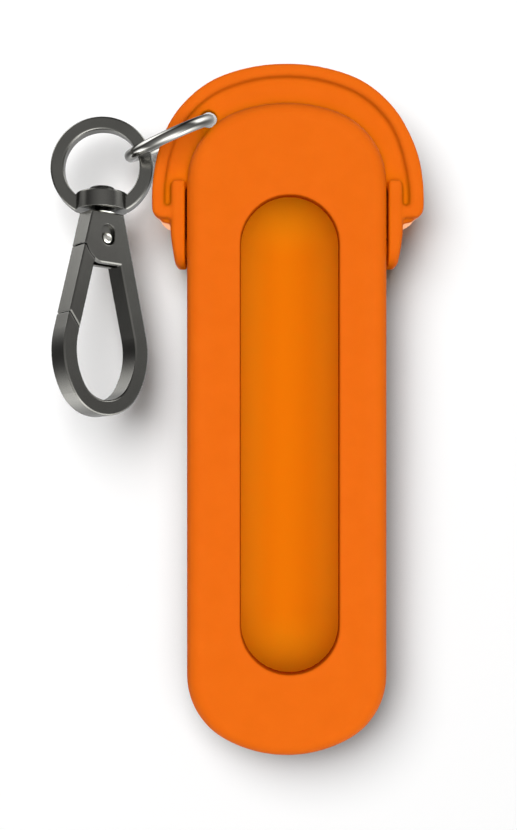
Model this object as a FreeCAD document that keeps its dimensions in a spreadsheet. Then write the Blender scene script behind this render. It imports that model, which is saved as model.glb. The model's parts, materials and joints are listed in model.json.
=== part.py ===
"""Silicone carry sleeve with a hinged hood, a jump ring and a swivel snap hook.

Frame: the sleeve lies on its flat back.  +Z points out of its front, +Y towards the hood,
+X to the right.  The origin is the centre of the flat back face.  Lengths are millimetres.
"""
import FreeCAD, Part
import math
import os
import re
import Sketcher
from FreeCAD import Placement, Rotation, Vector

doc = FreeCAD.newDocument("CarrySleeve")

# ---------------------------------------------------------------- driving dimensions

DIMENSIONS = [
    # sleeve
    ("sleeve_width", 31.25, "across the straight sides"),
    ("sleeve_length", 102.1, "bottom tip to tongue tip"),
    ("sleeve_depth", 12.0, "back face to front face"),
    ("back_wall", 2.0, "wall behind the pocket"),
    ("front_wall", 2.4, "wall in front of the pocket, and the tongue's thickness"),
    ("side_wall", 2.6, "wall beside the pocket"),
    ("tongue_arc", 22.7, "radius of the tongue's end"),
    ("tongue_corner", 12.0, "radius where the tongue's end meets its sides"),
    ("foot_arc", 20.0, "radius of the bottom end"),
    ("foot_corner", 11.5, "radius where the bottom end meets the sides"),
    ("front_round", 2.2, "rounding of the front edge"),
    ("back_round", 1.6, "rounding of the back edge"),
    ("window_width", 15.2, "stadium window, across"),
    ("window_length", 74.3, "stadium window, end to end"),
    ("window_aside", 0.45, "window centre to the right of the sleeve's"),
    ("window_along", -0.9, "window centre above the sleeve's"),
    ("window_round", 0.35, "rounding of the window's front edge"),
    # hinge between sleeve and hood
    ("hinge_back", 22.45, "hinge axis below the tongue's tip"),
    ("hinge_z", 6.0, "hinge axis above the back face"),
    ("mouth_margin", 2.6, "sphere that the sleeve's open end is cut to, past the sleeve's sides"),
    ("stud_diameter", 3.2, "hinge stud"),
    ("stud_fit", 0.05, "radial running clearance of the stud"),
    ("side_gap", 0.35, "between the sleeve's side and a hood arm"),
    ("mouth_gap", 0.3, "between the sleeve's open end and the hood"),
    # hood
    ("hood_reach", 28.4, "hinge axis to the hood's tip"),
    ("hood_arc", 28.8, "radius of the hood's end"),
    ("hood_half_width", 21.15, "widest half-width of the hood"),
    ("hood_widest_reach", 7.4, "hinge axis to where the hood is widest"),
    ("hood_side_arc", 28.2, "radius of the hood's sides"),
    ("hood_corner", 16.0, "radius where the hood's end meets its sides"),
    ("hood_heel_reach", 4.4, "hinge axis to the rim's lower ends"),
    ("hood_heel_round", 1.6, "rounding of the rim's lower ends"),
    ("flange_thickness", 1.9, "hood plate under the tongue"),
    ("rim_width", 2.0, "raised rim, with its fillet"),
    ("rim_height", 1.2, "rim above the plate"),
    ("rim_round", 0.58, "rounding of the rim's edges"),
    ("rim_fillet", 0.58, "fillet at the rim's inner foot"),
    ("shell_wall", 1.8, "spherical shell that closes the mouth"),
    ("shell_lift", 0.3, "shell above the back face"),
    ("lobe_reach", 4.0, "hinge axis to the shell's lower ends beside the arms"),
    ("arm_thickness", 2.25, "hood arm, across"),
    ("arm_below", 3.1, "hinge axis to an arm's lower end"),
    ("arm_back", 1.6, "arm's back edge above the sleeve's back face"),
    ("arm_front", 10.9, "arm's front edge above the sleeve's back face"),
    ("arm_corner", 3.2, "rounded corners of an arm's lower end"),
    ("arm_above", 10.3, "hinge axis to an arm's upper end"),
    ("arm_round", 1.0, "rounding of an arm's outer edges"),
    ("ring_hole_inset", 8.85, "hood's widest side to the ring hole's centre, across"),
    ("ring_hole_reach", 20.1, "hinge axis to the ring hole's centre, along"),
    ("ring_hole_play", 0.42, "radial play of the ring's wire in its hole"),
    # jump ring
    ("ring_radius", 6.8, "jump ring, centre line"),
    ("ring_wire", 1.86, "jump ring wire"),
    ("ring_seam", 0.12, "cut between the ring's wire ends"),
    ("ring_turn", 24.8, "direction of the ring from the eye to its hole, degrees from +X"),
    ("ring_lean", 9.0, "lean of the ring from upright, degrees"),
    # swivel eye
    ("eye_turn", 23.3, "direction from the eye's centre to the ring's wire, degrees from +X"),
    ("eye_play", 0.23, "between the ring's wire and the eye's hole"),
    ("eye_lift", 0.15, "eye's centre above the ring's"),
    ("hook_pitch", 5.0, "rise of the hook's axis towards its loop, degrees"),
    ("hook_roll", 40.0, "turn of the hook about its axis, degrees"),
    ("eye_outer", 8.05, "outer radius of the eye"),
    ("eye_inner", 5.95, "inner radius of the eye"),
    ("eye_thickness", 2.4, "thickness of the eye"),
    ("eye_round", 0.35, "rounding of the eye's edges"),
    ("collar_radius", 4.05, "swivel collar"),
    ("collar_top", 4.2, "upper face of the collar below the eye's centre"),
    ("collar_height", 2.7, "swivel collar, along the axis"),
    ("collar_round", 0.25, "rounding of the collar's edges"),
    # swivel post
    ("post_radius", 1.1, "shank of the post"),
    ("post_fit", 0.06, "radial running clearance of the post"),
    ("post_head_radius", 2.0, "head of the post"),
    ("post_head_height", 0.95, "head of the post"),
    ("post_head_gap", 0.05, "between the head and the collar"),
    ("neck_gap", 0.5, "between the collar and the hook's head"),
    ("post_seat", 1.7, "depth of the post's seat in the hook's head"),
    # hook frame
    ("frame_thickness", 3.9, "hook frame"),
    ("frame_top_half", 2.95, "half-width of the hook's head at its top"),
    ("frame_length", 31.9, "head's top to the loop's bottom"),
    ("loop_widest", 10.1, "widest place above the loop's bottom"),
    ("loop_half_width", 7.75, "widest half-width of the loop"),
    ("loop_side_arc", 13.0, "radius of the loop's sides"),
    ("limb_width", 2.4, "width of the loop's limbs"),
    ("frame_round", 0.22, "edge break of the hook frame"),
    ("head_depth", 8.1, "head's top to the top of the opening"),
    # gate
    ("pivot_depth", 4.1, "head's top to the gate's pivot"),
    ("cheek_radius", 4.15, "cheeks of the head about the pivot"),
    ("gate_gap", 0.2, "between the gate and the frame"),
    ("slot_width", 1.7, "slot between the cheeks"),
    ("slot_depth", 2.3, "head's top to the closed end of the slot"),
    ("slot_half", 2.5, "half-width of the slot about the pivot"),
    ("split_depth", 5.4, "head's top to the top of the gate on the hook's side"),
    ("web_play", 0.1, "between the gate's web and each cheek"),
    ("ear_thickness", 0.6, "gate's ear beside the spring"),
    ("ear_radius", 1.6, "gate's ear about the pivot"),
    ("nose_depth", 16.4, "head's top to the outer end of the nose joint"),
    ("nose_run", 2.6, "length of the slanted nose joint along the hook"),
    ("pin_radius", 0.75, "gate pin"),
    ("pin_fit", 0.05, "radial running clearance of the gate on its pin"),
    ("pin_head_radius", 0.98, "domed heads of the gate pin"),
    ("pin_head_height", 0.72, "domed heads of the gate pin"),
    ("pin_head_round", 0.7, "edge of the gate pin's heads"),
    ("dimple_radius", 1.2, "dimple round each pin head, half its width"),
    ("dimple_rise", 1.0, "length that the dimple runs up from the pin"),
    ("dimple_depth", 0.6, "dimple round each pin head"),
    # gate spring
    ("spring_wire", 0.25, "gate spring wire"),
    ("spring_pitch", 0.26, "rise of the gate spring in each turn"),
    ("spring_turns", 2.0, "turns of the gate spring"),
    ("spring_play", 0.12, "between the gate spring and its pin"),
    ("spring_leg", 1.5, "length of the spring's legs"),
]

sheet = doc.addObject("Spreadsheet::Sheet", "Dimensions")
size = {}
for row, (alias, value, note) in enumerate(DIMENSIONS, start=1):
    sheet.set("A%d" % row, alias)
    sheet.set("B%d" % row, str(value))
    sheet.set("C%d" % row, note)
    sheet.setAlias("B%d" % row, alias)
    size[alias] = value
doc.recompute()

# Sizes that more than one piece needs.
half_width = size["sleeve_width"] / 2
half_length = size["sleeve_length"] / 2
arm_inside = half_width + size["side_gap"]
tongue_under = size["sleeve_depth"] - size["front_wall"]
floor_top = tongue_under - size["mouth_gap"]

# The same sizes as formulas of the sheet.
HALF_WIDTH = "sleeve_width / 2"
ARM_INSIDE = "(sleeve_width / 2 + side_gap)"
TONGUE_UNDER = "(sleeve_depth - front_wall)"
FLOOR_TOP = "(sleeve_depth - front_wall - mouth_gap)"
SHELL_RADIUS = "(mouth_radius + mouth_gap + shell_wall)"

# Places that follow from other sizes, as formulas: y along the sleeve, x across it.
PLACES = {
    "hinge_y": "(sleeve_length / 2 - hinge_back)",
    "mouth_radius": "(sleeve_width / 2 + mouth_margin)",
    "hood_tip": "(hinge_y + hood_reach)",
    "hood_widest_y": "(hinge_y + hood_widest_reach)",
    "hood_heel_y": "(hinge_y + hood_heel_reach)",
    "lobe_y": "(hinge_y + lobe_reach)",
    "arm_foot_y": "(hinge_y - arm_below)",
    "arm_top_y": "(hinge_y + arm_above)",
    "ring_hole_x": "(ring_hole_inset - hood_half_width)",
    "ring_hole_y": "(hinge_y + ring_hole_reach)",
    "ring_x": "(ring_hole_x - ring_radius * cos(ring_turn * 1 deg))",
    "ring_y": "(ring_hole_y - ring_radius * sin(ring_turn * 1 deg))",
    "ring_z": "(sleeve_depth - front_wall - mouth_gap - flange_thickness / 2)",
    "eye_reach": "(eye_inner - ring_wire / 2 - eye_play)",
    "eye_x": "(ring_x - ring_radius * cos(ring_turn * 1 deg) - eye_reach * cos(eye_turn * 1 deg))",
    "eye_y": "(ring_y - ring_radius * sin(ring_turn * 1 deg) - eye_reach * sin(eye_turn * 1 deg))",
    "eye_z": "(ring_z + eye_lift)",
}


# ---------------------------------------------------------------- modelling helpers

def formula(text):
    """Turns the names in a formula into references to the sheet's cells."""
    def reference(match):
        word = match.group()
        if word in PLACES:
            return formula(PLACES[word])
        return "Dimensions." + word if word in size else word
    return re.sub("[a-z_]+", reference, text)


def new_body(name):
    body = doc.addObject("PartDesign::Body", name)
    body.Label = name
    return body


def origin_plane(body, role):
    return next(item for item in body.Origin.OriginFeatures if item.Role == role)


def new_sketch(body, name, role="XY_Plane", **offsets):
    """A sketch on one of the body's own planes, moved by formulas for its x, y and z offset."""
    sketch = body.newObject("Sketcher::SketchObject", name)
    sketch.AttachmentSupport = [(origin_plane(body, role), "")]
    sketch.MapMode = "FlatFace"
    for axis, text in offsets.items():
        sketch.setExpression(".AttachmentOffset.Base." + axis, formula(text))
    return sketch


def line(sketch, start, end):
    return sketch.addGeometry(Part.LineSegment(Vector(*start, 0), Vector(*end, 0)), False)


def arc(sketch, centre, radius, start, end):
    """An arc from one point to another, anticlockwise about its centre."""
    angles = [math.atan2(point[1] - centre[1], point[0] - centre[0]) for point in (start, end)]
    if angles[1] < angles[0]:
        angles[1] += 2 * math.pi
    circle = Part.Circle(Vector(*centre, 0), Vector(0, 0, 1), radius)
    return sketch.addGeometry(Part.ArcOfCircle(circle, *angles), False)


def tie(sketch, kind, *where):
    sketch.addConstraint(Sketcher.Constraint(kind, *where))


def at_origin(sketch, geometry, point):
    """Holds a point on the sketch's origin, which Sketcher counts as point 1 of geometry -1."""
    tie(sketch, "Coincident", geometry, point, -1, 1)


def on_axis(sketch, geometry, point, upward=True):
    """Holds a point on the sketch's upward axis or the one across, Sketcher's geometry -2 or -1."""
    tie(sketch, "PointOnObject", geometry, point, -2 if upward else -1)


def chain(sketch, pieces):
    """Joins each piece's end to the next one's start, round a closed outline."""
    for first, second in zip(pieces, pieces[1:] + pieces[:1]):
        tie(sketch, "Coincident", first, 2, second, 1)


def round_corner(sketch, side, curve, corner, radius):
    """Rounds the corner of a side and a curve with a tangent arc whose radius follows a formula."""
    sketch.fillet(side, curve, Vector(*corner, 0), Vector(*corner, 0), number(radius), True, False)
    drive(sketch, "Radius", (sketch.GeometryCount - 1,), radius)


def number(text):
    """The present value of a formula of the sheet."""
    return float(sheet.evalExpression(formula(text)))


def drive(sketch, kind, where, text):
    """A constraint whose value follows a formula of the sheet."""
    index = sketch.addConstraint(Sketcher.Constraint(kind, *where, number(text)))
    name = "%s_%d" % (kind, index)
    sketch.renameConstraint(index, name)
    sketch.setExpression("Constraints." + name, formula(text))


def drive_point(sketch, where, x_text=None, y_text=None):
    """Holds a point at formulas for its distances from the sketch's origin."""
    if x_text:
        drive(sketch, "DistanceX", (-1, 1, *where), x_text)
    if y_text:
        drive(sketch, "DistanceY", (-1, 1, *where), y_text)


def drive_circle(sketch, x_text, y_text, radius_text):
    """A whole circle, with its centre and radius on the sheet."""
    centre = Vector(number(x_text), number(y_text), 0)
    index = sketch.addGeometry(Part.Circle(centre, Vector(0, 0, 1), number(radius_text)), False)
    drive_point(sketch, (index, 3), x_text, y_text)
    drive(sketch, "Radius", (index,), radius_text)


def drive_polygon(sketch, corners):
    """A closed outline of straight lines; each corner is a pair of formulas."""
    points = [(number(x_text), number(y_text)) for x_text, y_text in corners]
    lines = [line(sketch, start, end) for start, end in zip(points, points[1:] + points[:1])]
    chain(sketch, lines)
    for index, corner in zip(lines, corners):
        drive_point(sketch, (index, 1), *corner)


def feature(body, kind, name, sketch=None, **settings):
    """A PartDesign feature; settings that are text are formulas of the sheet."""
    item = body.newObject("PartDesign::" + kind, name)
    if sketch:
        item.Profile = sketch
        sketch.Visibility = False
    for key, setting in settings.items():
        if isinstance(setting, str) and key not in ("Type", "SideType", "Mode"):
            item.setExpression(key, formula(setting))
        else:
            setattr(item, key, setting)
    doc.recompute()
    return item


def primitive(kind, name, base, tilt=0.0, **sizes):
    """A Part primitive with bound sizes, its base point bound too, tilted about X."""
    item = doc.addObject(kind, name)
    for prop, text in sizes.items():
        item.setExpression(prop, formula(text))
    item.Placement = Placement(Vector(0, 0, 0), Rotation(Vector(1, 0, 0), tilt))
    for axis, text in zip("xyz", base):
        item.setExpression(".Placement.Base." + axis, formula(text))
    return item


def edge_names(shape, choose):
    return ["Edge%d" % (i + 1) for i, edge in enumerate(shape.Edges) if choose(edge)]


def fillet(body, name, radius, choose, kind="Fillet"):
    """Rounds the edges of the body so far that choose() accepts."""
    base = body.Tip
    names = edge_names(base.Shape, choose)
    if not names:
        raise RuntimeError("no edge for " + name)
    item = body.newObject("PartDesign::" + kind, name)
    item.Base = (base, names)
    item.setExpression("Radius" if kind == "Fillet" else "Size", formula(radius))
    doc.recompute()
    return item


def at_height(edge, z, slack=1e-4):
    box = edge.BoundBox
    return abs(box.ZMin - z) < slack and abs(box.ZMax - z) < slack


def upright(edge, slack=1e-4):
    box = edge.BoundBox
    return box.XLength < slack and box.YLength < slack and box.ZLength > slack


# ---------------------------------------------------------------- sleeve

def sleeve_outline(sketch, tongue_corner=None):
    """Two straight sides, and a shallow arc across each end, the upper one with rounded corners if asked."""
    top = (0, half_length - size["tongue_arc"])
    foot = (0, size["foot_arc"] - half_length)
    top_y = top[1] + math.sqrt(size["tongue_arc"] ** 2 - half_width ** 2)
    foot_y = foot[1] - math.sqrt(size["foot_arc"] ** 2 - half_width ** 2)
    corners = [(half_width, foot_y), (half_width, top_y), (-half_width, top_y), (-half_width, foot_y)]
    right = line(sketch, corners[0], corners[1])
    end = arc(sketch, top, size["tongue_arc"], corners[1], corners[2])
    left = line(sketch, corners[2], corners[3])
    bottom = arc(sketch, foot, size["foot_arc"], corners[3], corners[0])
    chain(sketch, [right, end, left, bottom])
    for side in (right, left):
        tie(sketch, "Vertical", side)
    for curve in (end, bottom):
        on_axis(sketch, curve, 3)
    drive_point(sketch, (right, 1), x_text=HALF_WIDTH)
    drive_point(sketch, (left, 1), x_text="-" + HALF_WIDTH)
    drive(sketch, "Radius", (end,), "tongue_arc")
    drive(sketch, "Radius", (bottom,), "foot_arc")
    drive_point(sketch, (end, 3), y_text="sleeve_length / 2 - tongue_arc")
    drive_point(sketch, (bottom, 3), y_text="foot_arc - sleeve_length / 2")
    if tongue_corner:
        round_corner(sketch, right, end, corners[1], tongue_corner)
        round_corner(sketch, left, end, corners[2], tongue_corner)
    return sketch


def make_sleeve():
    body = new_body("sleeve_body")
    block = sleeve_outline(new_sketch(body, "block_outline"))
    feature(body, "Pad", "block", block, Length=TONGUE_UNDER)
    cut_mouth(body)
    plate = sleeve_outline(new_sketch(body, "front_outline", z=TONGUE_UNDER), "tongue_corner")
    feature(body, "Pad", "front_plate", plate, Length="front_wall")

    fillet(body, "foot_corners", "foot_corner",
           lambda edge: upright(edge) and edge.CenterOfMass.y < -number("hinge_y"))
    studs = new_sketch(body, "stud_circle", "YZ_Plane")
    drive_circle(studs, "hinge_y", "hinge_z", "stud_diameter / 2")
    feature(body, "Pad", "studs", studs, Midplane=True,
            Length="2 * ( %s + arm_thickness )" % ARM_INSIDE)
    fillet(body, "front_edge", "front_round",
           lambda edge: at_height(edge, size["sleeve_depth"]))
    fillet(body, "back_edge", "back_round",
           lambda edge: at_height(edge, 0) and edge.BoundBox.YMin < number("hinge_y"))
    cut_pocket(body)
    cut_window(body)
    return body


def cut_mouth(body):
    """Cuts the block's open end to a sphere about the hinge, so that the hood can turn past it."""
    sketch = new_sketch(body, "mouth_profile", x="0", y="hinge_y", z="hinge_z")
    radius = number("mouth_radius")
    outside = size["sleeve_length"] / 2
    foot_y = math.sqrt(radius ** 2 - arm_inside ** 2)
    curve = arc(sketch, (0, 0), radius, (arm_inside, foot_y), (-arm_inside, foot_y))
    left = line(sketch, (-arm_inside, foot_y), (-arm_inside, outside))
    top = line(sketch, (-arm_inside, outside), (arm_inside, outside))
    right = line(sketch, (arm_inside, outside), (arm_inside, foot_y))
    chain(sketch, [curve, left, top, right])
    for side in (left, right):
        tie(sketch, "Vertical", side)
    tie(sketch, "Horizontal", top)
    at_origin(sketch, curve, 3)
    drive(sketch, "Radius", (curve,), "mouth_radius")
    drive_point(sketch, (left, 1), x_text="-" + ARM_INSIDE)
    drive_point(sketch, (right, 2), x_text=ARM_INSIDE)
    drive_point(sketch, (top, 1), y_text="sleeve_length / 2")
    feature(body, "Groove", "mouth", sketch, Angle=180.0, Midplane=True,
            ReferenceAxis=(sketch, ["H_Axis"]))


def cut_pocket(body):
    """The pocket, open at the mouth, with the walls' thickness left round it."""
    sketch = new_sketch(body, "pocket_outline", z=TONGUE_UNDER)
    side = half_width - size["side_wall"]
    radius = size["foot_arc"] - size["side_wall"]
    centre = (0, size["foot_arc"] - half_length)
    foot_y = centre[1] - math.sqrt(radius ** 2 - side ** 2)
    top_y = half_length
    right = line(sketch, (side, foot_y), (side, top_y))
    top = line(sketch, (side, top_y), (-side, top_y))
    left = line(sketch, (-side, top_y), (-side, foot_y))
    bottom = arc(sketch, centre, radius, (-side, foot_y), (side, foot_y))
    chain(sketch, [right, top, left, bottom])
    for upright_side in (right, left):
        tie(sketch, "Vertical", upright_side)
    tie(sketch, "Horizontal", top)
    on_axis(sketch, bottom, 3)
    drive_point(sketch, (right, 1), x_text=HALF_WIDTH + " - side_wall")
    drive_point(sketch, (left, 1), x_text="side_wall - " + HALF_WIDTH)
    drive_point(sketch, (top, 1), y_text="sleeve_length / 2")
    drive_point(sketch, (bottom, 3), y_text="foot_arc - sleeve_length / 2")
    drive(sketch, "Radius", (bottom,), "foot_arc - side_wall")
    feature(body, "Pocket", "pocket", sketch, Length=TONGUE_UNDER + " - back_wall")
    foot = centre[1] - radius

    def inner_corner(edge):
        place = edge.CenterOfMass
        return upright(edge) and abs(abs(place.x) - side) < 1e-3 and place.y < foot / 2

    fillet(body, "pocket_corners", "foot_corner - side_wall", inner_corner)


def stadium(sketch, radius, low, high):
    """A slot with round ends, centred on the sketch's own height axis from one centre to another."""
    reach, bottom_y, top_y = number(radius), number(low), number(high)
    right = line(sketch, (reach, bottom_y), (reach, top_y))
    top = arc(sketch, (0, top_y), reach, (reach, top_y), (-reach, top_y))
    left = line(sketch, (-reach, top_y), (-reach, bottom_y))
    bottom = arc(sketch, (0, bottom_y), reach, (-reach, bottom_y), (reach, bottom_y))
    for first, second in ((right, top), (top, left), (left, bottom), (bottom, right)):
        tie(sketch, "Tangent", first, 2, second, 1)
    tie(sketch, "Vertical", right)
    on_axis(sketch, top, 3)
    drive(sketch, "Radius", (top,), radius)
    drive_point(sketch, (top, 3), y_text=high)
    drive_point(sketch, (bottom, 3), y_text=low)
    return sketch


def cut_window(body):
    """The stadium window through the front wall."""
    sketch = new_sketch(body, "window_outline", x="window_aside", y="window_along",
                        z="sleeve_depth")
    reach = "(window_length - window_width) / 2"
    stadium(sketch, "window_width / 2", "-1 * " + reach, reach)
    feature(body, "Pocket", "window", sketch, Length="front_wall")
    inside = size["window_width"] / 2 + size["window_aside"] + 1e-3
    fillet(body, "window_edge", "window_round",
           lambda edge: at_height(edge, size["sleeve_depth"]) and edge.BoundBox.XMax < inside
           and edge.BoundBox.XMin > -inside)


# ---------------------------------------------------------------- hood

def hood_outline(sketch, inset):
    """The hood seen from the front, drawn in by a width: shallow end, bowed sides, straight heel."""
    narrow = size["rim_width"] if inset else 0
    less = " - rim_width" if inset else ""
    more = " + rim_width" if inset else ""
    end_radius = size["hood_arc"] - narrow
    side_radius = size["hood_side_arc"] - narrow
    end_centre = (0, number("hood_tip") - size["hood_arc"])
    side_x = size["hood_half_width"] - size["hood_side_arc"]
    side_centre = (side_x, number("hood_widest_y"))
    heel = number("hood_heel_y") + narrow
    corner_x, corner_y = circles_meet(end_centre, end_radius, side_centre, side_radius)
    heel_x = side_x + math.sqrt(side_radius ** 2 - (side_centre[1] - heel) ** 2)
    right = arc(sketch, side_centre, side_radius, (heel_x, heel), (corner_x, corner_y))
    end = arc(sketch, end_centre, end_radius, (corner_x, corner_y), (-corner_x, corner_y))
    left = arc(sketch, (-side_x, side_centre[1]), side_radius, (-corner_x, corner_y), (-heel_x, heel))
    bottom = line(sketch, (-heel_x, heel), (heel_x, heel))
    chain(sketch, [right, end, left, bottom])
    tie(sketch, "Horizontal", bottom)
    on_axis(sketch, end, 3)
    for curve, sign, text in ((right, 1, "hood_half_width - hood_side_arc"),
                              (left, -1, "hood_side_arc - hood_half_width")):
        centre = (sign * side_x, side_centre[1])
        drive_point(sketch, (curve, 3), x_text=text, y_text="hood_widest_y")
        drive(sketch, "Radius", (curve,), "hood_side_arc" + less)
    drive(sketch, "Radius", (end,), "hood_arc" + less)
    drive_point(sketch, (end, 3), y_text="hood_tip - hood_arc")
    drive_point(sketch, (bottom, 1), y_text="hood_heel_y" + more)
    return sketch


def circles_meet(first, first_radius, second, second_radius):
    """The upper right crossing of two circles."""
    across = second[0] - first[0]
    up = second[1] - first[1]
    apart = math.hypot(across, up)
    along = (first_radius ** 2 - second_radius ** 2 + apart ** 2) / (2 * apart)
    off = math.sqrt(first_radius ** 2 - along ** 2)
    crossings = [(first[0] + (along * across + sign * off * up) / apart,
                  first[1] + (along * up - sign * off * across) / apart) for sign in (1, -1)]
    return max(crossings)


def make_hood():
    body = new_body("hood")
    rim_top = floor_top + size["rim_height"]
    plate_bottom = FLOOR_TOP + " - flange_thickness"
    plate = hood_outline(new_sketch(body, "plate_outline", z=plate_bottom), inset=False)
    feature(body, "Pad", "plate", plate, Length="flange_thickness + rim_height")

    def at_end(edge):
        return upright(edge) and edge.CenterOfMass.y > number("hood_widest_y") + size["rim_width"]

    def at_heel(edge):
        return upright(edge) and edge.CenterOfMass.y < number("hood_heel_y") + 1e-3

    def at_recess_end(edge):
        return at_end(edge) and abs(edge.BoundBox.ZLength - size["rim_height"]) < 1e-3

    fillet(body, "plate_corners", "hood_corner", at_end)
    fillet(body, "heel_corners", "hood_heel_round", at_heel)
    recess = hood_outline(new_sketch(body, "recess_outline", z=FLOOR_TOP + " + rim_height"), inset=True)
    feature(body, "Pocket", "recess", recess, Length="rim_height")
    fillet(body, "recess_corners", "hood_corner - rim_width", at_recess_end)
    fillet(body, "rim_edges", "rim_round", lambda edge: at_height(edge, rim_top))
    fillet(body, "rim_foot", "rim_fillet",
           lambda edge: at_height(edge, floor_top) and edge.CenterOfMass.y > number("hood_heel_y"))
    add_shell(body)
    arms = [make_arm(side, sign) for side, sign in (("right", 1), ("left", -1))]
    union = body.newObject("PartDesign::Boolean", "arms")
    union.Type = "Fuse"
    union.setObjects(arms)
    doc.recompute()
    cut_mouth_space(body)
    cut_hood_holes(body)
    return body


def add_shell(body):
    """A spherical band about the hinge that closes the sleeve's mouth."""
    radius = number(SHELL_RADIUS)
    start = math.degrees(math.asin((number("lobe_y") - number("hinge_y")) / radius))
    shell = body.newObject("PartDesign::AdditiveSphere", "shell")
    shell.AttachmentSupport = [(origin_plane(body, "XY_Plane"), "")]
    shell.MapMode = "FlatFace"
    shell.setExpression("Radius", formula(SHELL_RADIUS))
    shell.setExpression(".AttachmentOffset.Base.y", formula("hinge_y"))
    shell.setExpression(".AttachmentOffset.Base.z", formula("hinge_z"))
    low = "asin( ( shell_lift - hinge_z ) / %s )" % SHELL_RADIUS
    high = "asin( ( %s - hinge_z ) / %s )" % (FLOOR_TOP, SHELL_RADIUS)
    lobe = "asin( ( lobe_y - hinge_y ) / %s )" % SHELL_RADIUS
    shell.AttachmentOffset = Placement(Vector(0, 0, 0), Rotation(Vector(0, 0, 1), start))
    shell.setExpression(".AttachmentOffset.Rotation.Angle", formula(lobe))
    shell.setExpression("Angle1", formula(low))
    shell.setExpression("Angle2", formula(high))
    shell.setExpression("Angle3", formula("180 deg - 2 * " + lobe))
    doc.recompute()


def make_arm(side, sign):
    """An arm beside the sleeve, as a body of its own that the hood takes in."""
    body = new_body(side + "_arm")
    sketch = new_sketch(body, side + "_arm_profile", "YZ_Plane",
                        z="%d * %s" % (sign, ARM_INSIDE))
    drive_polygon(sketch, [("arm_foot_y", "arm_back"), ("arm_top_y", "arm_back"),
                           ("arm_top_y", "arm_front"), ("arm_foot_y", "arm_front")])
    feature(body, "Pad", side + "_arm_pad", sketch, Length="arm_thickness", Reversed=sign < 0)
    outside = sign * (arm_inside + size["arm_thickness"])

    def foot_corner(edge):
        box = edge.BoundBox
        return box.YLength < 1e-3 and box.ZLength < 1e-3 and abs(box.YMin - number("arm_foot_y")) < 1e-3

    def outer_edge(edge):
        return abs(edge.BoundBox.XMin - outside) < 1e-3 and abs(edge.BoundBox.XMax - outside) < 1e-3

    fillet(body, side + "_arm_corners", "arm_corner", foot_corner)
    fillet(body, side + "_arm_edge", "arm_round", outer_edge)
    return body


def cut_mouth_space(body):
    """The space that the sleeve's round end turns in."""
    sketch = new_sketch(body, "space_profile", x="0", y="hinge_y", z="hinge_z")
    radius = number("mouth_radius + mouth_gap")
    high = math.sqrt(radius ** 2 - arm_inside ** 2)
    base = line(sketch, (-arm_inside, 0), (arm_inside, 0))
    right = line(sketch, (arm_inside, 0), (arm_inside, high))
    curve = arc(sketch, (0, 0), radius, (arm_inside, high), (-arm_inside, high))
    left = line(sketch, (-arm_inside, high), (-arm_inside, 0))
    chain(sketch, [base, right, curve, left])
    on_axis(sketch, base, 1, upward=False)
    on_axis(sketch, base, 2, upward=False)
    for side in (right, left):
        tie(sketch, "Vertical", side)
    at_origin(sketch, curve, 3)
    drive(sketch, "Radius", (curve,), "mouth_radius + mouth_gap")
    drive_point(sketch, (base, 1), x_text="-" + ARM_INSIDE)
    drive_point(sketch, (base, 2), x_text=ARM_INSIDE)
    feature(body, "Groove", "mouth_space", sketch, Angle=360.0, ReferenceAxis=(sketch, ["H_Axis"]))


def cut_hood_holes(body):
    bore = new_sketch(body, "stud_bore_circle", "YZ_Plane")
    drive_circle(bore, "hinge_y", "hinge_z", "stud_diameter / 2 + stud_fit")
    feature(body, "Pocket", "stud_bores", bore, Midplane=True, Length="2 * sleeve_width")
    ring = new_sketch(body, "ring_hole_circle", z=FLOOR_TOP + " + rim_height")
    drive_circle(ring, "ring_hole_x", "ring_hole_y", "ring_wire / 2 + ring_hole_play")
    feature(body, "Pocket", "ring_hole", ring, Length="flange_thickness + rim_height")



# ---------------------------------------------------------------- jump ring

def make_jump_ring():
    """A round wire ring, nearly upright, with the fine seam where its ends meet."""
    torus = primitive("Part::Torus", "ring_torus", ("0", "0", "0"), Radius1="ring_radius", Radius2="ring_wire / 2")
    cut_base = ("-ring_seam / 2", "-ring_radius - 1.5 * ring_wire", "-1.5 * ring_wire")
    seam = primitive("Part::Box", "ring_seam_cut", cut_base,
                     Length="ring_seam", Width="3 * ring_wire", Height="3 * ring_wire")
    ring = doc.addObject("Part::Cut", "jump_ring")
    ring.Label = "jump_ring"
    ring.Base = torus
    ring.Tool = seam
    along = Rotation(Vector(0, 0, 1), size["ring_turn"])
    ring.Placement = Placement(Vector(0, 0, 0), along * Rotation(Vector(1, 0, 0), 90 + size["ring_lean"]))
    for axis in "xyz":
        ring.setExpression(".Placement.Base." + axis, formula("ring_" + axis))
    return ring


# ---------------------------------------------------------------- snap hook

# The hook is modelled about its eye: y runs up the hook's axis and z out of its front.
COLLAR_BOTTOM = "(collar_top + collar_height)"
HEAD_TOP = "(-collar_top - collar_height - neck_gap)"
BOTTOM_ARC = ("(((loop_side_arc - loop_half_width) ^ 2 + loop_widest ^ 2 - loop_side_arc ^ 2)"
              " / (2 * (loop_widest - loop_side_arc)))")
PIVOT_Y = "(-collar_top - collar_height - neck_gap - pivot_depth)"


def place_on_hook(item, roll):
    """Lays a piece of the hook along the hook's axis, turned about it."""
    pitch = Rotation(Vector(1, 0, 0), -size["hook_pitch"])
    item.Placement = Placement(Vector(0, 0, 0), pitch * Rotation(Vector(0, 1, 0), roll))
    for axis in "xyz":
        item.setExpression(".Placement.Base." + axis, formula("eye_" + axis))


def round_edge(edge, radius):
    """True for the edges of a circle of the given radius."""
    return hasattr(edge.Curve, "Radius") and abs(edge.Curve.Radius - radius) < 1e-3


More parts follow.
